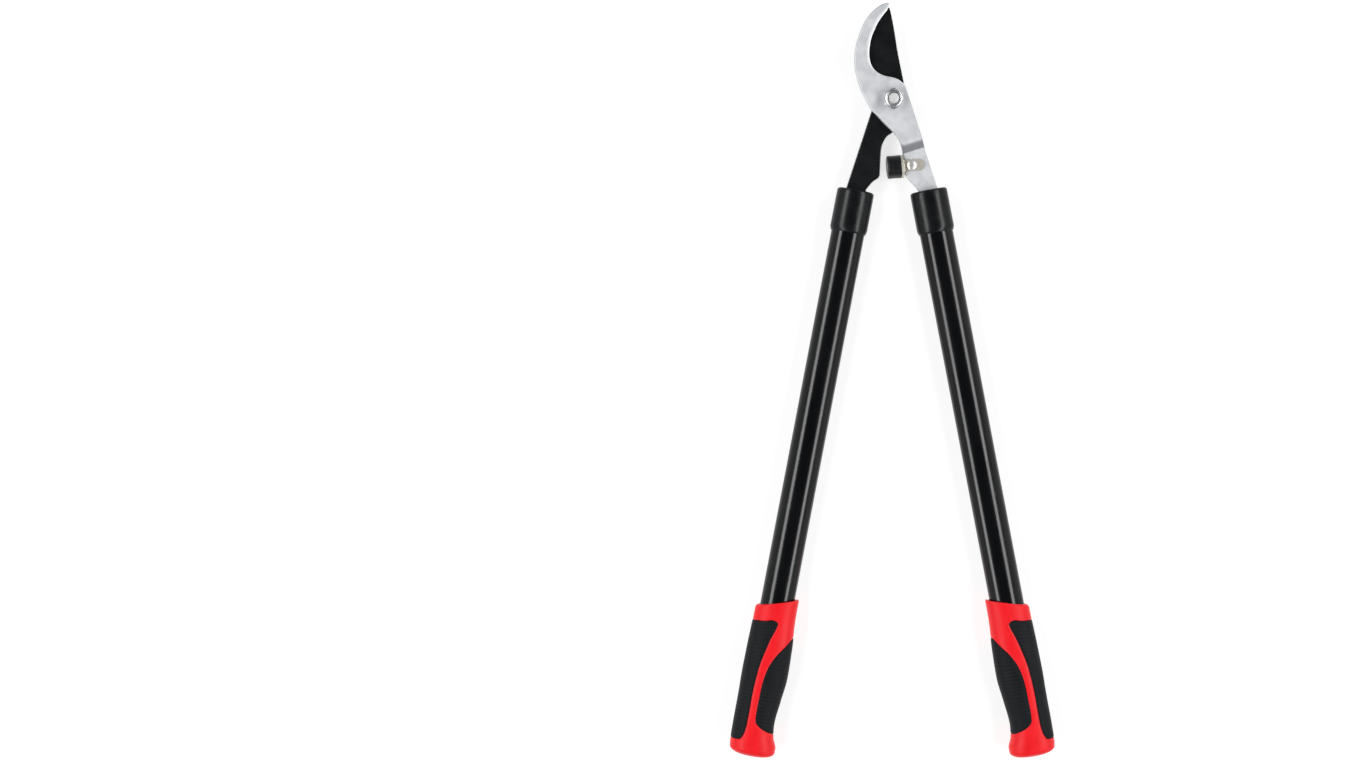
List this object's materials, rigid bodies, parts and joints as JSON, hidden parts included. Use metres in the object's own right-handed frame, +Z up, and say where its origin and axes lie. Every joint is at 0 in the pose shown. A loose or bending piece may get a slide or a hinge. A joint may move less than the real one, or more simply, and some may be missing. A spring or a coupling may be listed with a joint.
{
  "type": "bypass loppers",
  "caption": "Two-handed bypass lopper: a curved cutting blade passes a hooked counter blade on a pivot bolt, with long tube handles, grips and a rubber bumper.",
  "frame": {"origin": "middle of the tool's footprint, on the surface it lies on", "axes": "+Y from the grips to the tips of the jaws, +Z up out of the nut side, +X towards the handle of the hooked counter blade"},
  "size_m": [0.2852, 0.6636, 0.036],
  "materials": {
    "blade_coating": "satin black anti-stick coating, with a fine ground bevel left bare on the outer side",
    "blasted_steel": "fine sand-blasted, with a bright ground edge",
    "tube_paint": "gloss black stove enamel",
    "collar_plastic": "semi-gloss black moulding",
    "grip_red": "satin red moulding",
    "grip_soft": "matt black soft moulding with faint cross lines",
    "bumper_rubber": "moulded black rubber",
    "bumper_steel": "zinc plated strip, slightly warm",
    "rivet_steel": "bright plated",
    "bolt_nickel": "dull nickel plated forging",
    "zinc_hardware": "bright zinc plated",
    "lock_ring_nylon": "dark nylon",
    "nylon": "natural nylon"
  },
  "bodies": {
    "counter_half": {"counter_blade": "blasted_steel", "counter_collar": "collar_plastic", "counter_tube": "tube_paint", "counter_tang_insert": "nylon", "counter_tang_rivets": "zinc_hardware", "counter_grip_body": "grip_red", "counter_grip_outer_panel": "grip_soft", "counter_grip_inner_panel": "grip_soft", "bumper_rubber": "bumper_rubber", "bumper_disc": "bumper_steel", "bumper_bracket": "bumper_steel", "bumper_stud": "zinc_hardware", "bumper_rivet": "rivet_steel", "pivot_bolt": "bolt_nickel", "pivot_nut": "zinc_hardware", "nut_lock_ring": "lock_ring_nylon"},
    "blade_half": {"cutting_blade": "blade_coating", "blade_collar": "collar_plastic", "blade_tube": "tube_paint", "blade_tang_insert": "nylon", "blade_tang_rivets": "zinc_hardware", "blade_grip_body": "grip_red", "blade_grip_outer_panel": "grip_soft", "blade_grip_inner_panel": "grip_soft"}
  },
  "joints": [
    {"name": "pivot", "type": "hinge", "parent": "counter_half", "child": "blade_half", "pos_m": [0, 0.24708, 0.0152], "axis": [0, 0, -1], "range_deg": [-3, 60]}
  ]
}
